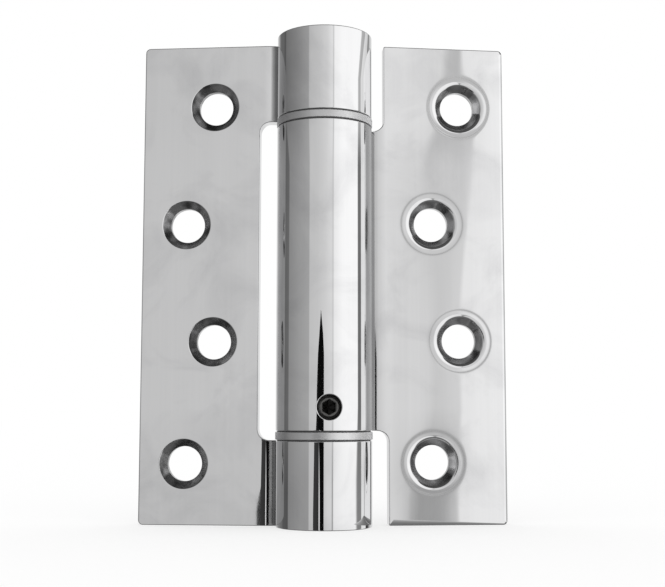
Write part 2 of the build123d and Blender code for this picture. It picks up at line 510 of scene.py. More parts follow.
def seam_turn(radius):
    """Angle that the roll has turned through where a circle of this radius meets the seam's slot."""
    slot = BEND_RADIUS + SHEET + SEAM_GAP
    return 2 * pi - acos((radius**2 + BEND_REACH**2 - slot**2) / (2 * radius * BEND_REACH))


ROLL_END_INSIDE = ROLL_START + MID_RADIUS * seam_turn(BORE_RADIUS)
ROLL_END_OUTSIDE = ROLL_START + MID_RADIUS * seam_turn(BARREL_RADIUS)
STEP_INSIDE = FLAT + MID_RADIUS * (BEND_SWEEP - acos(BEND_REACH / 2 / BARREL_RADIUS))
STEP_OUTSIDE = ROLL_START


def face_wave(s, z, wave, press, press_radius, holes):
    """Depth of a leaf's face below flat: a few slow sine waves, faded out before the bend, plus round
    each hole a shallow dish whose wall follows a smooth step at the press mark's radius."""
    fade = np.clip((FLAT - 1.0 - s) / WAVE_FADE, 0, 1)
    slow = sum(strength * np.sin(along * s + up * z + phase) for strength, along, up, phase in WAVES)
    depth = wave * slow * fade
    for hole_s, hole_z in holes:
        away = np.hypot(s - hole_s, z - hole_z)
        depth = depth + press / (1 + np.exp((away - press_radius) / PRESS_WALL))
    return depth


def press_shade_line(s, z, press_radius, holes):
    """Strength of the painted shade line round each hole, at the wall of its press dish: a bell curve of
    the distance from a circle.
    """
    line = 0.0 * s
    for hole_s, hole_z in holes:
        away = np.hypot(s - hole_s, z - hole_z)
        line = line + np.exp(-(((away - press_radius) / PRESS_WALL) ** 2))
    return line


def crease_dulling_and_shade(s, depth, door):
    """How much duller the blank is, and how much painted shade darkens it, where no wheel reaches it: a
    ramp along its front just before the seam's slot, and on the door leaf also one over the outside of
    the last part of its roll."""
    ramp = np.clip((s - FLAT - CREASE_START) / CREASE_RAMP, 0, 1)
    # Painted shade, with more roughness, along the front before the seam's slot
    dull_and_shaded = (DOOR_CREASE_DULLING_AND_SHADE if door else FRAME_CREASE_DULLING_AND_SHADE) * ramp * (s < ROLL_START) * (depth < NEAR)
    if door:
        roll_end = ROLL_START + MID_RADIUS * POLISHED_ROLL
        dull_and_shaded = dull_and_shaded + ROLL_END_DULLING_AND_SHADE * np.clip((s - roll_end) / CREASE_RAMP, 0, 1) * (depth > SHEET - NEAR)
    return dull_and_shaded


def rolled(s, z, depth, out_s, out_z, out_depth, surface):
    """Place and normal of points of the blank after rolling. s runs along the sheet from its outer
    edge, and depth goes from its front face to its back. The sheet runs straight, then turns left about
    the bend's centre, then right about the pin axis; a heading angle says which way it runs."""
    step = 0.02
    share = 1 - depth / SHEET
    dip = surface(s, z)
    slope_s = (surface(s + step, z) - surface(s - step, z)) / (2 * step)
    slope_z = (surface(s, z + step) - surface(s, z - step)) / (2 * step)
    out_s = out_s - out_depth * share * slope_s
    out_z = out_z - out_depth * share * slope_z
    depth = depth + dip * share
    bend = np.clip((s - FLAT) / MID_RADIUS, 0, BEND_SWEEP)
    turned = np.clip((s - ROLL_START) / MID_RADIUS, 0, None)
    heading = bend - turned
    straight = np.minimum(s, FLAT) - LEAF_WIDTH
    x = straight + (BEND_RADIUS + SHEET - depth) * np.sin(bend)
    y = FACE_SETBACK + depth + (BEND_RADIUS + SHEET - depth) * (1 - np.cos(bend))
    round_angle = ROLL_ANGLE - turned
    on_roll = s > ROLL_START
    x = np.where(on_roll, (BORE_RADIUS + depth) * np.cos(round_angle), x)
    y = np.where(on_roll, (BORE_RADIUS + depth) * np.sin(round_angle), y)
    normal_x = out_s * np.cos(heading) - out_depth * np.sin(heading)
    normal_y = out_s * np.sin(heading) + out_depth * np.cos(heading)
    points = np.stack([x, y, z + 0 * x], axis=-1)
    normals = np.stack([normal_x, normal_y, out_z + 0 * x], axis=-1)
    return points, normals


def sheet_face(loops, rings, s_lines, z_lines):
    """Triangles of one face of the blank: a Delaunay triangulation of a lattice of points between the
    outline, which is the first loop, and the rims of the holes, which are the others. Rings of points
    may take the lattice's place round a hole. Returns points in the plane of the blank and faces."""
    lattice = np.stack(np.meshgrid(s_lines, z_lines, indexing="ij"), axis=-1).reshape(-1, 2)
    rim = np.concatenate(loops)
    clear = np.ones(len(lattice), bool)

    # In parts, so that the table of gaps stays small
    for some in np.array_split(np.arange(len(lattice)), 12):
        gap = lattice[some, None, :] - rim[None, :, :]
        clear[some] = (gap**2).sum(axis=2).min(axis=1) > LATTICE_GAP**2
    for loop in loops[1:] + rings:
        middle = (loop.max(axis=0) + loop.min(axis=0)) / 2
        half = (loop.max(axis=0) - loop.min(axis=0)) / 2 + RIM_MARGIN
        clear &= (((lattice - middle) / half) ** 2).sum(axis=1) > 1
    points = np.concatenate([rim, *rings, lattice[clear]])
    edges = []
    start = 0
    for loop in loops:
        index = np.arange(len(loop))
        edges.append(np.stack([start + index, start + (index + 1) % len(loop)], axis=1))
        start += len(loop)
    made = delaunay_2d_cdt(points.tolist(), np.concatenate(edges).tolist(), [], 1, 1e-5)
    source = np.array([ids[0] for ids in made[3]])
    faces = source[np.array([list(face) for face in made[2]])]
    owner = np.zeros(len(points), int)
    owner[:len(rim)] = np.repeat(np.arange(len(loops)), [len(loop) for loop in loops])
    owners = owner[faces]
    faces = faces[(owners[:, 0] == 0) | (owners != owners[:, :1]).any(axis=1)]
    used, faces = np.unique(faces, return_inverse=True)
    return points[used], faces.reshape(-1, 3)


def frame_outline(inside):
    """Corners and fillets of the frame leaf's blank, with its two end knuckles."""
    end = ROLL_END_INSIDE if inside else ROLL_END_OUTSIDE
    step = STEP_INSIDE if inside else STEP_OUTSIDE
    cut = LEAF_WIDTH - FRAME_CUTOUT
    corners = [
        (0, 0), (end, 0), (end, LOWER_TOP), (cut, LOWER_TOP), (cut, UPPER_BOTTOM),
        (end, UPPER_BOTTOM), (end, BARREL_HEIGHT), (step, BARREL_HEIGHT), (step, LEAF_HEIGHT),
        (0, LEAF_HEIGHT),
    ]
    radii = [
        LEAF_CORNER, KNUCKLE_CORNER, KNUCKLE_CORNER, CUTOUT_CORNER, CUTOUT_CORNER,
        KNUCKLE_CORNER, KNUCKLE_CORNER, STEP_CORNER, STEP_CORNER, LEAF_CORNER,
    ]
    return corners, radii


def blank_length(reach):
    """Length along the blank of the point that lies this far from the pin axis, on the leaf's face."""
    past = np.clip((-reach - BEND_X) / (BEND_RADIUS + SHEET), 0, 1)
    return min(LEAF_WIDTH - reach, FLAT) + MID_RADIUS * np.arcsin(past)


def door_outline(inside):
    """Corners and fillets of the door leaf's blank, with its centre knuckle."""
    end = ROLL_END_INSIDE if inside else ROLL_END_OUTSIDE
    low, high = blank_length(LOWER_NOTCH), blank_length(UPPER_NOTCH)
    corners = [
        (0, 0), (low, 0), (low, CENTRE_BOTTOM), (end, CENTRE_BOTTOM), (end, CENTRE_TOP),
        (high, CENTRE_TOP), (high, LEAF_HEIGHT), (0, LEAF_HEIGHT),
    ]
    radii = [
        LEAF_CORNER, KNUCKLE_CORNER, CUTOUT_CORNER, KNUCKLE_CORNER,
        KNUCKLE_CORNER, CUTOUT_CORNER, KNUCKLE_CORNER, LEAF_CORNER,
    ]
    return corners, radii


def leaf_skin(outline, columns, row_drop, settings, door):
    """The whole leaf: both faces of its blank, a rounded band along its outline, and for each screw
    hole a turned band with the countersink, the bore and their rounded rims, all rolled together."""
    skin = Skin()
    edge = settings.edge_radius / MM
    outer_edge = (settings.door_outer_edge if door else settings.frame_outer_edge) / MM
    rim = (settings.door_rim_radius if door else settings.frame_rim_radius) / MM
    wave = (settings.door_wave if door else settings.frame_wave) / MM
    press = settings.door_press / MM if door else 0.0
    press_radius = settings.press_radius / MM
    holes = [(LEAF_WIDTH - column, height - row_drop) for column, height in zip(columns, ROWS)]

    def surface(s, z):
        return face_wave(s, z, wave, press, press_radius, holes)

    def put(faces, *values, bare=0.0, along=0.0):
        """Roll a patch given by the s, z and depth of its points and their normals' three parts."""
        *values, bare, along = np.broadcast_arrays(*values, bare, along)
        s, z, depth = values[:3]
        points, normals = rolled(*values, surface)
        # Red mark: painted shade, in a line round the door leaf's holes and beside the seam, where the
        # metal is also duller
        line = press_shade_line(s, z, press_radius, holes) * (depth < NEAR) * door + crease_dulling_and_shade(s, depth, door)
        marks = np.stack([line, bare * (DOOR_CUT if door else 1.0), along], axis=-1)
        skin.add(points.reshape(-1, 3), normals.reshape(-1, 3), faces, marks.reshape(-1, 3))

    def put_band(s, z, *values, **cut):
        """Closed band from the front of the sheet to its back, whose two ends bound the faces."""
        put(grid_faces(*s.shape, True), s, z, *values, **cut)
        front_loops.append(np.stack([s[0], z[0]], axis=1))
        back_loops.append(np.stack([s[-1], z[-1]], axis=1))

    front_loops = []
    back_loops = []

    # Band along the outline
    corners, radii = outline(True)
    steps = side_steps(corners, OUTLINE_STEP)
    front, out = rounded_line(corners, radii, steps)
    back, _ = rounded_line(outline(False)[0], radii, steps)
    facing = 1 - np.arccos(np.clip(-out[:, 0], -1, 1)) / (pi / 2)
    soft = edge + (outer_edge - edge) * np.where(front[:, 0] < LEAF_CORNER + NEAR, facing.clip(0, 1), 0)
    hard = edge + 0 * soft
    angle = np.linspace(0, pi / 2, 6)[:, None]
    inset = np.concatenate([soft * (1 - np.sin(angle)), hard * (1 - np.sin(angle[::-1]))])
    depth = np.concatenate([soft * (1 - np.cos(angle)), SHEET - hard * (1 - np.cos(angle[::-1]))])
    lean = np.concatenate([np.sin(angle), np.sin(angle[::-1])])
    down = np.concatenate([-np.cos(angle), np.cos(angle[::-1])])
    slant = (back - front) / SHEET
    slope = (slant * out).sum(axis=1)
    s = front[:, 0] + slant[:, 0] * depth - out[:, 0] * inset
    z = front[:, 1] + slant[:, 1] * depth - out[:, 1] * inset
    put_band(s, z, depth, out[:, 0] * lean, out[:, 1] * lean, down - slope * lean)

    # Countersunk holes
    around = np.linspace(0, 2 * pi, AROUND, endpoint=False)
    cosine, sine = np.cos(around), np.sin(around)
    circle = np.stack([cosine, sine], axis=1)
    sink = SINK_RADIUS - HOLE_RADIUS
    rows = corner_rows([
        ((sink, 0), rim, 0, 45, 7),
        ((0, sink), BORE_RIM, 45, 90, 4),
        ((0, SHEET), edge, 90, 180, 6),
    ])
    bare = np.clip(np.arange(len(rows[0]))[:, None] - RIM_SHINE, 0, 1) * (rows[1] < SHEET - NEAR)
    along = np.hypot(rows[0] - rows[0][0], rows[1])
    rings = []
    for hole_s, hole_z in holes:
        s = hole_s + (HOLE_RADIUS + rows[0]) * cosine
        z = hole_z + (HOLE_RADIUS + rows[0]) * sine
        put_band(s, z, rows[1], -cosine * rows[2], -sine * rows[2], rows[3], bare=bare, along=along)
        for away in PRESS_RINGS:
            rings.append(np.array([hole_s, hole_z]) + (press_radius + away) * circle)

    # Way of the grub screw, straight through the front of the roll
    if door:
        centre = ROLL_START + MID_RADIUS * (ROLL_ANGLE + pi / 2)
        rows = corner_rows([
            ((0, 0), GRUB_HOLE_INNER_RIM, 0, 90, 6),
            ((0, SHEET), GRUB_HOLE_OUTER_RIM, 90, 180, 9),
        ])
        across = (GRUB_HOLE + rows[0]) * cosine
        tilt = np.arcsin(across / (BORE_RADIUS + rows[1]))
        s = centre + MID_RADIUS * tilt
        z = GRUB_HEIGHT + (GRUB_HOLE + rows[0]) * sine
        out_s = -cosine * rows[2] * np.cos(tilt)
        out_depth = rows[3] - cosine * rows[2] * np.sin(tilt)
        put_band(s, z, rows[1], out_s, -sine * rows[2], out_depth)

    # The two faces of the sheet
    s_lines = np.concatenate([
        np.linspace(LATTICE_START, FLAT, FLAT_LINES),
        np.linspace(FLAT, ROLL_START, BEND_LINES)[1:],
        np.linspace(ROLL_START, ROLL_END_INSIDE, ROLL_LINES)[1:],
    ])
    z_lines = np.linspace(LATTICE_END, BARREL_HEIGHT - LATTICE_END, UP_LINES)
    for loops, around_holes, level, way in ((front_loops, rings, 0, -1), (back_loops, [], SHEET, 1)):
        flat, faces = sheet_face(loops, around_holes, s_lines, z_lines)
        put(faces, flat[:, 0], flat[:, 1], float(level), 0, 0, way)
    return skin


def placed_as_door(skin):
    """Mirror a leaf across the pin axis and open it to where the door leaf stands."""
    way = DOOR_TURN @ np.diag([-1.0, 1.0, 1.0])
    skin.points = [points @ way.T for points in skin.points]
    skin.normals = [(normals @ way.T)[:, ::-1] for normals in skin.normals]
    skin.faces = [faces[:, ::-1] for faces in skin.faces]
    return skin


# Turned pieces


def turned_skin(line, normals):
    """A profile of radii and heights carried round the pin axis; a point at radius r and angle a lies
    at (r cos a, r sin a)."""
    angle = np.linspace(0, 2 * pi, RING_AROUND, endpoint=False)
    radius, height = line[:, :1], line[:, 1:]
    points = np.stack([radius * np.cos(angle), radius * np.sin(angle), height + 0 * angle], axis=-1)
    out, up = normals[:, :1], normals[:, 1:]
    looks = np.stack([out * np.cos(angle), out * np.sin(angle), up + 0 * angle], axis=-1)
    skin = Skin()
    skin.add(points.reshape(-1, 3), looks.reshape(-1, 3), grid_faces(len(line), RING_AROUND, True))
    return skin


def ring_skin(low):
    """Bearing ring: a rectangle with rounded corners carried round the pin axis."""
    outer = BARREL_RADIUS + RING_PROUD
    high = low + RING_HEIGHT
    corners = [(RING_BORE, low), (outer, low), (outer, high), (RING_BORE, high)]
    radii = [RING_INNER_EDGE, RING_OUTER_EDGE, RING_OUTER_EDGE, RING_INNER_EDGE]
    line, normals = rounded_line(corners, radii, [3, 2, 3, 2])
    return turned_skin(np.concatenate([line, line[:1]]), np.concatenate([normals, normals[:1]]))


def hexagon_radius(angle, flats):
    """Distance from the middle of a hexagon to its side in a direction: half the distance between
    flats over the cosine of the angle to the nearest flat."""
    return flats / 2 / np.cos((angle + pi / 6) % (pi / 3) - pi / 6)


def grub_skin():
    """Socket set screw along +z from its cup point, then laid along the door leaf's front. Its thread
    is a ripple of the shank's radius along a helix: a triangle wave of height over pitch less angle."""
    skin = Skin()
    length = GRUB_FACE - GRUB_TIP
    angle = np.linspace(0, 2 * pi, AROUND, endpoint=False)
    circle = np.stack([np.cos(angle), np.sin(angle)], axis=-1)
    around = np.arange(AROUND)
    fan = np.stack([around, (around + 1) % AROUND, np.full(AROUND, AROUND)], axis=1)

    def rows(radii, heights):
        radii = np.broadcast_to(np.asarray(radii, float), (len(heights), AROUND))
        level = np.broadcast_to(np.asarray(heights, float), (len(heights), AROUND))
        return np.concatenate([radii[..., None] * circle, level[..., None]], axis=-1)

    def smooth(points):
        along = np.gradient(points, axis=0)
        about = (np.roll(points, -1, axis=1) - np.roll(points, 1, axis=1)) / 2
        looks = np.cross(about, along).reshape(-1, 3)
        looks /= np.maximum(np.linalg.norm(looks, axis=1, keepdims=True), 1e-12)
        skin.add(points.reshape(-1, 3), looks, grid_faces(len(points), AROUND, True))

    def step(radius, height, next_radius, next_height):
        points = rows([radius + 0 * angle, next_radius + 0 * angle], [[height], [next_height]])
        skin.add_flat(points.reshape(-1, 3), grid_faces(2, AROUND, True))

    def close(radius, height, middle, faces):
        points = np.concatenate([rows([radius + 0 * angle], [[height]])[0], [[0, 0, middle]]])
        skin.add_flat(points, faces)

    hexagon = hexagon_radius(angle, GRUB_FLATS)
    shank_top = length - GRUB_FACE_CHAMFER
    heights = np.linspace(GRUB_CHAMFER, shank_top, THREAD_ROWS)[:, None]
    phase = (heights / GRUB_PITCH - angle / (2 * pi)) % 1
    fade = np.minimum(heights - GRUB_CHAMFER, shank_top - heights) / GRUB_THREAD_FADE
    fade = np.clip(fade, 0, 1)
    smooth(rows(GRUB_RADIUS - GRUB_THREAD * fade * np.abs(2 * phase - 1), heights))

    # From the shank's top over the face and down into the socket
    face = GRUB_RADIUS - GRUB_FACE_CHAMFER
    step(GRUB_RADIUS, shank_top, face, length)
    step(face, length, hexagon + GRUB_LIP, length)
    step(hexagon + GRUB_LIP, length, hexagon, length - GRUB_LIP)
    socket = length - GRUB_SOCKET
    step(hexagon, length - GRUB_LIP, hexagon, socket)
    step(hexagon, socket, hexagon / 2, socket - GRUB_CONE)
    close(hexagon / 2, socket - GRUB_CONE, socket - 2 * GRUB_CONE, fan)

    # From the shank's foot over the point and up into the cup
    point = GRUB_RADIUS - GRUB_CHAMFER
    step(GRUB_CUP, 0, point, 0)
    step(point, 0, GRUB_RADIUS, GRUB_CHAMFER)
    close(GRUB_CUP, 0, GRUB_CUP_DEPTH, fan[:, ::-1])

    way = DOOR_TURN @ np.array([[1.0, 0, 0], [0, 0, -1.0], [0, 1.0, 0]])
    place = DOOR_TURN @ np.array([0, -GRUB_TIP, GRUB_HEIGHT])
    skin.points = [points @ way.T + place for points in skin.points]
    skin.normals = [normals @ way.T for normals in skin.normals]
    return skin


# Materials


def feed(tree, socket, value):
    """Give an input a plain value, or link another node's output to it."""
    if isinstance(value, bpy.types.NodeSocket):
        tree.links.new(value, socket)
    else:
        socket.default_value = value


def new_node(tree, kind, **values):
    """Node with its settings made and its inputs fed. A name with a capital is an input."""
    made = tree.nodes.new(f"ShaderNode{kind}")
    for name, value in values.items():
        if name[0].isupper():
            feed(tree, made.inputs[name.replace("_", " ")], value)
        else:
            setattr(made, name, value)
    return made


def worked_out(tree, operation, *terms, clamp=False):
    """Result of a Math node whose terms are outputs of other nodes or plain numbers."""
    made = new_node(tree, "Math", operation=operation, use_clamp=clamp)
    for socket, term in zip(made.inputs, terms):
        feed(tree, socket, term)
    return made.outputs[0]


def noise(tree, vector, **values):
    """Noise read at a vector."""
    return new_node(tree, "TexNoise", Vector=vector, **values).outputs["Fac"]


def ranged(tree, value, **ends):
    """A value carried from one range to another."""
    return new_node(tree, "MapRange", Value=value, **ends).outputs[0]


def grey_of(tree, value):
    """Grey of this value."""
    return new_node(tree, "CombineColor", Red=value, Green=value, Blue=value).outputs[0]


# Places of a Mix node's factor, its two colours and its result
MIX_FACTOR, MIX_FIRST, MIX_SECOND = 0, 6, 7
MIX_COLOUR = 2


def multiplied(tree, first, second, factor=1.0):
    """Two colours multiplied, by as much as the factor says."""
    mix = new_node(tree, "Mix", data_type="RGBA", blend_type="MULTIPLY")
    for index, value in ((MIX_FACTOR, factor), (MIX_FIRST, first), (MIX_SECOND, second)):
        feed(tree, mix.inputs[index], value)
    return mix.outputs[MIX_COLOUR]


def polish_marks(tree, given):
    """Marks of the polishing wheel: noise stretched along the height into long fine lines, and broad
    soft bands. Puts out a tint for the colour, a mask for the roughness and a height for the bump."""
    stretched = new_node(tree, "Mapping", Vector=given["Vector"], Scale=(1500.0, 1500.0, 25.0))
    lines = noise(tree, stretched.outputs[0], Scale=1.0, Detail=3.0, Roughness=0.6)
    slow = new_node(tree, "Mapping", Vector=given["Vector"], Scale=(170.0, 170.0, 9.0))
    bands = noise(tree, slow.outputs[0], Scale=1.0, Detail=2.0, Roughness=0.5, Distortion=0.4)
    fine = worked_out(tree, "MULTIPLY", lines, given["Lines"])
    broad = worked_out(tree, "MULTIPLY", bands, given["Bands"])
    tint = new_node(tree, "ValToRGB", Fac=worked_out(tree, "ADD", fine, broad))
    dark, light = tint.color_ramp.elements
    dark.position = 0.3
    dark.color = (0.93, 0.93, 0.93, 1)
    light.color = (1, 1, 1, 1)
    return {"Tint": tint.outputs[0], "Mask": bands, "Height": fine}


def handling_smudges(tree, given):
    """Handling marks: soft clouds with a sharper edge inside them. Puts out a mask."""
    clouds = noise(
        tree, given["Vector"], Scale=given["Size"], Detail=5.0, Roughness=0.55, Distortion=0.8
    )
    return {"Mask": ranged(tree, clouds, From_Min=0.46, From_Max=0.72)}


def surface_grain(tree, given):
    """Even grain of a turned, plated or moulded surface. Puts out a tint, a mask and a height."""
    grain = noise(tree, given["Vector"], Scale=given["Size"], Detail=6.0, Roughness=0.65)
    patches = noise(tree, given["Vector"], Scale=120.0, Detail=3.0, Roughness=0.5)
    dark = worked_out(tree, "MULTIPLY", worked_out(tree, "ADD", grain, patches), given["Contrast"])
    light = worked_out(tree, "SUBTRACT", 1.1, dark)
    return {"Tint": grey_of(tree, light), "Mask": patches, "Height": grain}


def cut_marks_and_shade(tree, given):
    """Looks of the piece's own marks: painted shade in a fine line round a hole and beside the seam, and
    a cut surface left unpolished, with the rings that the tool turned in it. Puts out a tint, an extra
    roughness and a height."""
    parts = new_node(tree, "SeparateColor", Color=given["Marks"]).outputs
    # Red holds the painted shade round the holes and beside the seam
    line, cut, along = parts["Red"], parts["Green"], parts["Blue"]
    rings = new_node(tree, "TexNoise", noise_dimensions="1D", W=along, Scale=9.0, Detail=2.0)
    grooves = worked_out(tree, "MULTIPLY", rings.outputs["Fac"], cut)
    patches = noise(tree, given["Vector"], Scale=330.0, Detail=2.0, Roughness=0.5)
    uneven = ranged(tree, patches, From_Min=0.38, From_Max=0.62, To_Min=0.6, To_Max=1.35)
    bare = worked_out(tree, "MULTIPLY", worked_out(tree, "MULTIPLY", cut, uneven), given["Cut Depth"])
    # Darker by the painted shade of the red mark and by the bare cut
    dark = worked_out(tree, "ADD", worked_out(tree, "MULTIPLY", line, given["Painted Shade Depth"]), bare)
    left = worked_out(tree, "SUBTRACT", 1.0, dark, clamp=True)
    lit = worked_out(tree, "MULTIPLY_ADD", grooves, 0.25, left)
    both = worked_out(tree, "ADD", line, cut, clamp=True)
    return {"Tint": grey_of(tree, lit), "Mask": both, "Height": grooves}


# Inputs of each node group, beside its vector: a number is a value's default, and None is a colour
GROUPS = {
    polish_marks: {"Lines": 1.0, "Bands": 1.0},
    handling_smudges: {"Size": 60.0},
    surface_grain: {"Size": 900.0, "Contrast": 0.2},
    cut_marks_and_shade: {"Marks": None, "Painted Shade Depth": 0.42, "Cut Depth": 0.7},
}


def shared_group(build):
    """Node group of an effect, built once from its inputs. The outputs are what the effect puts out:
    Tint is a colour, and the others are values."""
    name = build.__name__
    if name in bpy.data.node_groups:
        return bpy.data.node_groups[name]
    tree = bpy.data.node_groups.new(name, "ShaderNodeTree")
    tree.interface.new_socket(name="Vector", in_out="INPUT", socket_type="NodeSocketVector")
    for label, value in GROUPS[build].items():
        kind = "NodeSocketColor" if value is None else "NodeSocketFloat"
        socket = tree.interface.new_socket(name=label, in_out="INPUT", socket_type=kind)
        if value is not None:
            socket.default_value = value
    made = build(tree, tree.nodes.new("NodeGroupInput").outputs)
    for label in made:
        kind = "NodeSocketColor" if label == "Tint" else "NodeSocketFloat"
        tree.interface.new_socket(name=label, in_out="OUTPUT", socket_type=kind)
    end = tree.nodes.new("NodeGroupOutput")
    for label, output in made.items():
        tree.links.new(output, end.inputs[label])
    return tree


def placed_group(tree, build, vector, **values):
    """Outputs of a node group placed in a material, with its inputs fed."""
    made = tree.nodes.new("ShaderNodeGroup")
    made.node_tree = shared_group(build)
    for name, value in {"Vector": vector, **values}.items():
        feed(tree, made.inputs[name], value)
    return made.outputs


def empty_material(name):
    """Material with nothing in its node tree."""
    material = bpy.data.materials.new(name)
    material.use_nodes = True
    material.node_tree.nodes.clear()
    return material


def put_surface(tree, shader):
    """Show a shader as the surface of its material."""
    new_node(tree, "OutputMaterial", Surface=shader.outputs[0])


def put_principled(tree, metallic, colour, roughness, height, distance):
    """Principled surface with a bump of this height, scaled to a distance in metres."""
    bump = new_node(tree, "Bump", Height=height, Strength=1.0, Distance=distance)
    put_surface(tree, new_node(
        tree, "BsdfPrincipled", Metallic=metallic, Base_Color=colour, Roughness=roughness,
        Normal=bump.outputs[0],
    ))


# Haze of a smudge, what the piece's own marks add to the roughness and to the height, and the distance
# of the bump in metres
HAZE = (0.86, 0.86, 0.865, 1)
MARK_ROUGHNESS = 0.16
MARK_HEIGHT = 12.0
CHROME_BUMP = 0.3e-6


def chrome_material(name, colour, smudge, lines, bands, roughness):
    """Mirror polished chrome with wheel marks, handling smudges and the piece's own marks, among them
    painted shade round the holes and beside the seam.
    """
    material = empty_material(name)
    tree = material.node_tree
    place = new_node(tree, "TexCoord").outputs["Object"]
    marks = new_node(tree, "Attribute", attribute_name="marks").outputs["Color"]
    polish = placed_group(tree, polish_marks, place, Lines=lines, Bands=bands)
    smudges = placed_group(tree, handling_smudges, place, Size=70.0)
    cuts_and_shade = placed_group(tree, cut_marks_and_shade, place, Marks=marks)
    tinted = multiplied(tree, (*colour, 1), polish["Tint"])
    hazy = multiplied(tree, tinted, HAZE, smudges["Mask"])
    shade = multiplied(tree, hazy, cuts_and_shade["Tint"])
    plain = ranged(tree, polish["Mask"], To_Min=roughness * 0.6, To_Max=roughness * 1.4)
    handled = worked_out(tree, "MULTIPLY_ADD", smudges["Mask"], smudge, plain)
    rough = worked_out(tree, "MULTIPLY_ADD", cuts_and_shade["Mask"], MARK_ROUGHNESS, handled)
    height = worked_out(tree, "MULTIPLY_ADD", cuts_and_shade["Height"], MARK_HEIGHT, polish["Height"])
    put_principled(tree, 1.0, shade, rough, height, CHROME_BUMP)
    return material


def grained_material(name, colour, metallic, roughness, contrast, size, height):
    """Plated, oiled, turned or moulded surface with an even grain."""
    material = empty_material(name)
    tree = material.node_tree
    place = new_node(tree, "TexCoord").outputs["Object"]
    grain = placed_group(tree, surface_grain, place, Size=size, Contrast=contrast)
    tinted = multiplied(tree, (*colour, 1), grain["Tint"])
    rough = ranged(tree, grain["Mask"], To_Min=roughness * 0.7, To_Max=roughness * 1.3)
    put_principled(tree, metallic, tinted, rough, grain["Height"], height)
    return material


# For each polished finish: its setting's name, the strength of the wheel's lines and of its bands, and
# the roughness
CHROMES = {
    "leaf_chrome": ("chrome", 0.5, 0.7, 0.018),
    "ring_chrome": ("ring", 0.8, 0.5, 0.42),
}

# For each grained finish: its setting's name, how metallic it is, the roughness, the grain's contrast
# and size, and the bump's distance in metres
GRAINED = {
    "plated_steel": ("steel", 1.0, 0.32, 0.2, 900.0, 4e-6),
    "screw_steel": ("screw", 1.0, 0.34, 0.3, 1500.0, 4e-6),
    "spring_steel": ("spring", 1.0, 0.4, 0.3, 700.0, 6e-6),
    "bush_brass": ("brass", 1.0, 0.3, 0.2, 800.0, 5e-6),
    "liner_plastic": ("plastic", 0.0, 0.45, 0.12, 500.0, 8e-6),
    "washer_plastic": ("washer", 0.0, 0.5, 0.2, 600.0, 5e-6),
}


def finish(slot):
    """Material of one of the part's finishes, by the name of its slot. The imported model.glb brings a
    plain material under the slot's own name, so this one is named apart from it."""
    name = f"{slot}_look"
    if name in bpy.data.materials:
        return bpy.data.materials[name]
    look = bpy.context.scene.hinge_finish
    if slot in CHROMES:
        setting, *values = CHROMES[slot]
        return chrome_material(name, getattr(look, setting), look.gloss_loss, *values)
    setting, *values = GRAINED[slot]
    return grained_material(name, getattr(look, setting), *values)


# Putting pieces into the scene


def put_piece(name, mesh, body, slot, *nodes):
    """Object for a finished mesh, riding on its body and standing for its nodes."""
    piece = bpy.data.objects.new(name, mesh)
    bpy.context.scene.collection.objects.link(piece)
    mesh.materials.append(finish(slot))
    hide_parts(*nodes)
    if body:
        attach(piece, body)
    return piece


def merged_copy(node, name):
    """Copy of a node's mesh with its doubled points merged and its flat faces joined, shaded smooth
    except at its edges."""
    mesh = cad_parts[node].data.copy()
    mesh.name = name
    mesh.materials.clear()
    work = bmesh.new()
    work.from_mesh(mesh)
    bmesh.ops.remove_doubles(work, verts=work.verts, dist=MERGE_DISTANCE * MM)
    bmesh.ops.dissolve_limit(work, angle_limit=FLAT_ANGLE, verts=work.verts, edges=work.edges)
    work.to_mesh(mesh)
    work.free()
    mesh.shade_smooth()
    mesh.set_sharp_from_angle(angle=SHARP_ANGLE)
    return mesh


def soften(piece, width):
    """Fine rounding of a piece's edges."""
    bevel = piece.modifiers.new("edges", "BEVEL")
    bevel.width = width
    bevel.segments = 2
    bevel.limit_method = "ANGLE"
    bevel.angle_limit = BEVEL_ANGLE
    bevel.harden_normals = True


def dress(node, slot):
    """Give a piece that stays as model.glb brings it its finish."""
    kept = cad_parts[node]
    kept.data.materials.clear()
    kept.data.materials.append(finish(slot))


class HINGE_OT_leaves(bpy.types.Operator):
    """Make the two polished leaves with their rolled knuckles"""

    bl_idname = "hinge.leaves"
    bl_label = "Leaves"

    def execute(self, context):
        settings = context.scene.hinge_leaf
        leaf = leaf_skin(frame_outline, FRAME_COLUMNS, FRAME_ROW_DROP, settings, False)
        mesh = leaf.mesh("rolled_frame_leaf")
        put_piece("rolled_frame_leaf", mesh, "frame", "leaf_chrome", "frame_leaf")
        leaf = placed_as_door(leaf_skin(door_outline, DOOR_COLUMNS, 0.0, settings, True))
        mesh = leaf.mesh("rolled_door_leaf")
        put_piece("rolled_door_leaf", mesh, "door", "leaf_chrome", "door_leaf")
        return {"FINISHED"}


class HINGE_OT_bearing_rings(bpy.types.Operator):
    """Make the bearing rings and finish the dark washers beside them"""

    bl_idname = "hinge.bearing_rings"
    bl_label = "Bearing rings"

    def execute(self, context):
        for level, bottom in (("lower", LOWER_TOP), ("upper", CENTRE_TOP)):
            name = f"turned_{level}_ring"
            mesh = ring_skin(bottom + WASHER).mesh(name)
            put_piece(name, mesh, "frame", "ring_chrome", f"{level}_bearing_ring")
            for side in ("below", "above"):
                dress(f"{level}_washer_{side}_ring", "washer_plastic")
        return {"FINISHED"}


class HINGE_OT_grub_screw(bpy.types.Operator):
    """Make the threaded socket screw that locks the tension adjuster"""

    bl_idname = "hinge.grub_screw"
    bl_label = "Grub screw"

    def execute(self, context):
        mesh = grub_skin().mesh("threaded_grub_screw")
        put_piece("threaded_grub_screw", mesh, "lock_screw", "screw_steel", "grub_screw")
        return {"FINISHED"}


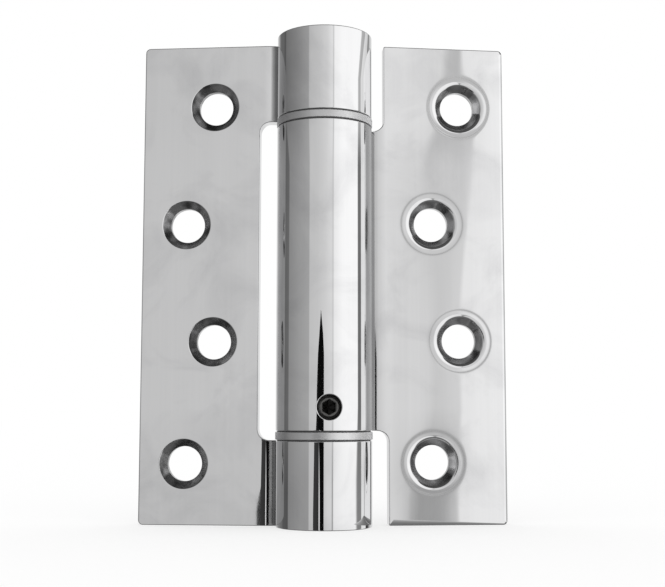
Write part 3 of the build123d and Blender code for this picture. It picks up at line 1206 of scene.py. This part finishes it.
class HINGE_OT_pivots(bpy.types.Operator):
    """Finish the spindle, the tension adjuster and the lower bush, which show at the barrel's ends"""

    bl_idname = "hinge.pivots"
    bl_label = "Pivots"

    def execute(self, context):
        shown = (
            ("upper_spindle", "frame", "plated_steel"),
            ("tension_adjuster", "adjuster", "plated_steel"),
            ("lower_bush", "frame", "bush_brass"),
        )
        for node, body, slot in shown:
            name = f"finished_{node}"
            piece = put_piece(name, merged_copy(node, name), body, slot, node)
            soften(piece, PIVOT_EDGE * MM)
        return {"FINISHED"}


class HINGE_OT_torsion_spring(bpy.types.Operator):
    """Finish the spring, which on the real hinge winds up between the two leaves as it opens; here it
    stays where it stands
    """

    bl_idname = "hinge.torsion_spring"
    bl_label = "Torsion spring"

    def execute(self, context):
        mesh = merged_copy("torsion_spring", "wound_spring")
        piece = put_piece("wound_spring", mesh, None, "spring_steel", "torsion_spring")
        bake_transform(piece)
        return {"FINISHED"}


class HINGE_OT_inner_pieces(bpy.types.Operator):
    """Give the pieces inside the barrel their finishes"""

    bl_idname = "hinge.inner_pieces"
    bl_label = "Inner pieces"

    def execute(self, context):
        finishes = {
            "upper_bush": "bush_brass",
            "thrust_washer": "bush_brass",
            "guide_rod": "plated_steel",
            "spring_liner": "liner_plastic",
        }
        for node, slot in finishes.items():
            dress(node, slot)
        return {"FINISHED"}


# The studio


# Upright edges in the tent. Each has an azimuth in degrees from the front towards +X at four levels
# (bottom knuckle, centre knuckle, top knuckle, top edge), and a tone under the floor's level and at the
# first three of them.
TENT_EDGES = (
    (-180, -180, -180, -180, 0.86, 0.86, 0.86, 0.84),
    (-152, -152, -152, -152, 0.80, 0.80, 0.80, 0.78),
    (-138, -138, -138, -138, 0.66, 0.64, 0.64, 0.60),
    (-130, -130, -130, -130, 0.52, 0.50, 0.50, 0.40),
    (-124, -124, -124, -124, 0.52, 0.50, 0.50, 0.40),
    (-122, -122, -122, -122, 0.42, 0.45, 0.46, 0.38),
    (-109, -109, -111, -111, 0.42, 0.40, 0.42, 0.38),
    (-107, -107, -109, -109, 0.33, 0.34, 0.37, 0.32),
    (-88.5, -88.5, -104, -104, 0.32, 0.32, 0.40, 0.34),
    (-86.5, -86.5, -102, -102, 0.49, 0.51, 0.53, 0.43),
    (-56, -56, -66, -66, 0.55, 0.56, 0.60, 0.51),
    (-31, -31, -33.5, -33.5, 0.58, 0.58, 0.64, 0.61),
    (-29, -29, -31.5, -31.5, 0.72, 0.72, 0.75, 0.72),
    (-10, -10, -10, -10, 0.73, 0.74, 0.76, 0.76),
    (8, 8, 8, 8, 0.77, 0.78, 0.80, 0.80),
    (14, 14, 14, 14, 0.80, 0.81, 0.82, 0.82),
    (22.6, 22.6, 23, 23, 0.80, 0.82, 0.84, 0.87),
    (23.6, 24.6, 26.2, 26.2, 0.75, 0.75, 0.81, 0.84),
    (24.9, 25.6, 26.9, 26.9, 0.58, 0.60, 0.78, 0.74),
    (25.7, 26.3, 27.6, 27.6, 0.60, 0.62, 0.79, 0.72),
    (27.0, 27.5, 27.75, 27.75, 0.75, 0.76, 0.82, 0.75),
    (27.3, 27.8, 27.95, 27.95, 0.87, 0.89, 0.90, 0.89),
    (31, 31, 31, 31, 0.89, 0.91, 0.92, 0.94),
    (50, 50, 50, 50, 0.93, 0.94, 0.97, 0.97),
    (84.5, 91.5, 93, 106, 0.94, 0.95, 0.97, 0.97),
    (91, 94, 95.5, 109, 0.52, 0.50, 0.42, 0.70),
    (103, 103, 102, 121, 0.50, 0.50, 0.42, 0.66),
    (104.5, 104.5, 104, 124, 0.87, 0.87, 0.88, 0.86),
    (120.5, 121, 124, 136, 0.87, 0.87, 0.86, 0.80),
    (122.5, 123, 127, 139, 0.22, 0.22, 0.45, 0.45),
    (130, 130, 131, 140, 0.22, 0.22, 0.45, 0.45),
    (134, 134, 135, 142, 0.42, 0.42, 0.55, 0.55),
    (140, 140, 140, 146, 0.66, 0.66, 0.66, 0.66),
    (152, 152, 152, 152, 0.80, 0.80, 0.80, 0.80),
    (180, 180, 180, 180, 0.86, 0.86, 0.86, 0.84),
)

# Tones of the tent's floor and ceiling, and the steps that it takes from edge to edge
TENT_FLOOR = 0.4
TENT_CEILING = 0.3
TENT_STEPS = 8

# Dark opening before the hinge. Each row has a height, the places of the left edge, of a light slit's
# two sides and of the right edge in millimetres, and the slit's tone.
OPENING_ROWS = (
    (-160, -26.5, -8.2, -4.6, 7.2, 0.85),
    (-2.4, -26.0, -8.2, -4.6, 7.2, 0.85),
    (4.2, -24.8, -8.2, -4.8, 7.2, 0.80),
    (12.2, -23.2, -8.6, -5.6, 7.2, 0.60),
    (16.5, -22.6, -9.6, -7.2, 7.2, 0.20),
    (18.2, -17.5, -13.0, -11.0, 6.8, 0.12),
    (22.7, -15.2, -12.0, -10.0, 7.0, 0.10),
    (29.2, -14.6, -11.5, -9.0, 7.3, 0.08),
    (38.7, -11.2, -9.5, -8.0, 7.3, 0.05),
    (44.0, -7.0, -5.5, -4.0, 4.4, 0.05),
    (50.0, -2.4, -2.2, -2.1, -1.9, 0.05),
)
OPENING_DISTANCE = 79.0
SLIT_BLUR = 0.4

# Tones of its left side below and above a height in millimetres, the change towards the slit, and the
# tone of its right side
OPENING_LOW_GREY = 0.22
OPENING_HIGH_GREY = 0.1
OPENING_CHANGE = 17
OPENING_FALL = 0.04
OPENING_BLACK = 0.04

# Shade before the door leaf's foot: its height, its azimuth, its reach in millimetres at the barrel and
# at the outer end, and its tone at shares of that reach
SHADE_HEIGHT = 0.1
SHADE_AZIMUTH = radians(25)
SHADE_REACH = (15, 2)
SHADE_SHARES = (0.02, 0.55, 0.85, 1.0)
SHADE_TONES = (0.36, 0.5, 0.62, 0.78)

# Share of the light that the polish marks leave on average
POLISH_TINT = 0.965

# Place of the camera in metres, and its turns in degrees
CAMERA_PLACE = (0.0238, -0.2508, 0.0221)
CAMERA_TURNS = (95.91, -0.08, 5.018)


def light_of(tone):
    """Light that shows as this tone of grey in a picture."""
    tone = np.asarray(tone, float)
    return np.where(tone <= 0.04045, tone / 12.92, ((tone + 0.055) / 1.055) ** 2.4)


def glow_material(name):
    """Plain glow whose light comes from the mesh's own tone attribute."""
    material = empty_material(name)
    tree = material.node_tree
    tone = new_node(tree, "Attribute", attribute_name="tone").outputs["Color"]
    put_surface(tree, new_node(tree, "Emission", Color=tone))
    return material


def put_card(name, points, tones):
    """Grid of points seen only in reflections, with a tone for each point."""
    mesh = bpy.data.meshes.new(name)
    faces = grid_faces(*points.shape[:2], False)
    mesh.from_pydata(points.reshape(-1, 3).tolist(), [], faces.tolist())
    light = light_of(tones).reshape(-1, 1) / (bpy.context.scene.hinge_finish.chrome[0] * POLISH_TINT)
    colours = np.concatenate([light, light, light, np.ones_like(light)], axis=1)
    tone = mesh.attributes.new("tone", "FLOAT_COLOR", "POINT")
    tone.data.foreach_set("color", colours.astype(np.float32).ravel())
    mesh.materials.append(bpy.data.materials.get("tent_glow") or glow_material("tent_glow"))
    card = bpy.data.objects.new(name, mesh)
    bpy.context.scene.collection.objects.link(card)
    card.visible_camera = False
    card.visible_diffuse = False
    card.visible_shadow = False
    card.visible_transmission = False


def add_tent(radius):
    """The tent: a profile of floor, wall and ceiling carried round the pin axis. At each height of the
    wall the edges stand at their own azimuths and tones, and the floor and the ceiling have one
    darker tone each."""
    edges = np.array(TENT_EDGES, float)
    column = np.linspace(0, len(edges) - 1, (len(edges) - 1) * TENT_STEPS + 1)
    index = np.arange(len(edges))
    low, middle, high, top, under, tone_low, tone_middle, tone_high = (
        np.interp(column, index, edges[:, i]) for i in range(edges.shape[1])
    )
    ceiling = TENT_CEILING + 0 * low
    floor = TENT_FLOOR + 0 * low

    # Share of the radius, height in metres, azimuths and tones of each row
    rows = (
        (0.02, -0.42, low, floor), (0.6, -0.42, low, floor), (1.0, -0.4, low, floor),
        (1.0, -0.3, low, under), (1.0, -0.09, low, under), (1.0, -0.055, low, tone_low),
        (1.0, -0.02, low, tone_low), (1.0, 0.03, middle, tone_middle), (1.0, 0.2, middle, tone_middle),
        (1.0, 0.235, high, tone_high), (1.0, 0.262, high, tone_high), (1.0, 0.295, top, tone_high),
        (1.0, 0.42, top, tone_high), (1.0, 0.46, top, ceiling), (0.6, 0.5, top, ceiling),
        (0.02, 0.5, top, ceiling),
    )
    points = []
    tones = []
    for across, height, azimuth, tone in rows:
        angle = np.radians(azimuth)
        x = across * radius * np.sin(angle)
        y = -across * radius * np.cos(angle)
        points.append(np.stack([x, y, height + 0 * angle], axis=-1))
        tones.append(tone)
    put_card("studio_tent", np.array(points), np.array(tones))


def add_near_card():
    """Dark opening in front of the hinge: a strip with a pointed top, dark grey at its left and black at
    its right, with a light slit between them low down."""
    height, left, start, end, right, slit = np.array(OPENING_ROWS).T
    grey = np.where(height < OPENING_CHANGE, OPENING_LOW_GREY, OPENING_HIGH_GREY)
    black = OPENING_BLACK + 0 * grey
    x = np.stack([left, start, start + SLIT_BLUR, end - SLIT_BLUR, end, right], axis=1)
    tones = np.stack([grey, grey - OPENING_FALL, slit, slit, black, black], axis=1)
    points = np.stack([x, -OPENING_DISTANCE + 0 * x, height[:, None] + 0 * x], axis=-1)
    put_card("dark_opening", points * MM, tones)


def add_foot_card():
    """Shade on the floor before the door leaf, seen only in its foot: from the leaf's front edge it
    reaches forward, less far towards the outer end."""
    reach = np.linspace(LOWER_NOTCH, LEAF_WIDTH, 9)
    front = np.stack([reach, FACE_SETBACK + 0 * reach, SHADE_HEIGHT + 0 * reach], axis=-1)
    foot = front @ DOOR_TURN.T
    way = np.array([sin(SHADE_AZIMUTH), -cos(SHADE_AZIMUTH), 0])
    far = np.linspace(*SHADE_REACH, len(reach))[:, None]
    points = foot + np.array(SHADE_SHARES)[:, None, None] * far * way
    tones = np.array(SHADE_TONES)[:, None] + 0 * reach
    put_card("foot_shade", points * MM, tones)


def add_floor(settings):
    """Plain pale floor under the hinge. It catches the shadow, and isn't seen in the metal."""
    half = settings.floor_size / 2
    corners = [(-half, -half, 0), (half, -half, 0), (half, half, 0), (-half, half, 0)]
    mesh = bpy.data.meshes.new("studio_floor")
    mesh.from_pydata(corners, [], [(0, 1, 2, 3)])
    material = empty_material("studio_floor")
    tree = material.node_tree
    colour = (*settings.floor, 1)
    plain = new_node(tree, "BsdfPrincipled", Base_Color=colour, Roughness=0.9, Specular_IOR_Level=0.0)
    glow = new_node(tree, "Emission", Color=colour, Strength=1.0)
    seen = new_node(tree, "LightPath").outputs["Is Camera Ray"]
    share = worked_out(tree, "MULTIPLY", seen, 1 - settings.shadow)
    both = new_node(tree, "MixShader")
    for socket, value in zip(both.inputs, (share, plain.outputs[0], glow.outputs[0])):
        feed(tree, socket, value)
    put_surface(tree, both)
    mesh.materials.append(material)
    floor = bpy.data.objects.new("studio_floor", mesh)
    bpy.context.scene.collection.objects.link(floor)
    floor.visible_glossy = False


class HINGE_OT_stage(bpy.types.Operator):
    """Set up the floor, the tent that the metal reflects, the light and the camera"""

    bl_idname = "hinge.stage"
    bl_label = "Studio"

    def execute(self, context):
        scene = context.scene
        settings = scene.hinge_stage
        add_floor(settings)
        add_tent(settings.tent_radius)
        add_near_card()
        add_foot_card()

        world = bpy.data.worlds.new("white_studio")
        world.use_nodes = True
        sky = world.node_tree.nodes["Background"]
        sky.inputs["Color"].default_value = (*settings.floor, 1)
        sky.inputs["Strength"].default_value = 1.0
        scene.world = world

        lens = bpy.data.cameras.new("photograph")
        lens.sensor_width = 36.0
        lens.lens = settings.lens
        lens.clip_start = 0.01
        lens.clip_end = 20.0
        camera = bpy.data.objects.new("photograph", lens)
        scene.collection.objects.link(camera)
        camera.location = CAMERA_PLACE
        camera.rotation_euler = [radians(turn) for turn in CAMERA_TURNS]
        scene.camera = camera
        scene.view_settings.view_transform = "Standard"
        return {"FINISHED"}


class HINGE_PT_panel(bpy.types.Panel):
    """Hinge tools in the sidebar"""

    bl_idname = "HINGE_PT_panel"
    bl_label = "Spring hinge"
    bl_space_type = "VIEW_3D"
    bl_region_type = "UI"
    bl_category = "Hinge"

    def draw(self, context):
        layout = self.layout
        scene = context.scene
        for settings in (scene.hinge_leaf, scene.hinge_finish, scene.hinge_stage):
            box = layout.box()
            for name in settings.__annotations__:
                box.prop(settings, name)
        for operator in OPERATORS:
            layout.operator(operator.bl_idname)


OPERATORS = (
    HINGE_OT_leaves,
    HINGE_OT_bearing_rings,
    HINGE_OT_grub_screw,
    HINGE_OT_pivots,
    HINGE_OT_torsion_spring,
    HINGE_OT_inner_pieces,
    HINGE_OT_stage,
)
CLASSES = (HingeLeafSettings, HingeFinishSettings, HingeStageSettings, *OPERATORS, HINGE_PT_panel)


def register():
    for made in CLASSES:
        bpy.utils.register_class(made)
    bpy.types.Scene.hinge_leaf = PointerProperty(type=HingeLeafSettings)
    bpy.types.Scene.hinge_finish = PointerProperty(type=HingeFinishSettings)
    bpy.types.Scene.hinge_stage = PointerProperty(type=HingeStageSettings)


def unregister():
    del bpy.types.Scene.hinge_stage
    del bpy.types.Scene.hinge_finish
    del bpy.types.Scene.hinge_leaf
    for made in reversed(CLASSES):
        bpy.utils.unregister_class(made)


def main():
    register()
    bpy.ops.hinge.leaves()
    bpy.ops.hinge.bearing_rings()
    bpy.ops.hinge.grub_screw()
    bpy.ops.hinge.pivots()
    bpy.ops.hinge.torsion_spring()
    bpy.ops.hinge.inner_pieces()
    bpy.ops.hinge.stage()


if __name__ == "__main__":
    main()
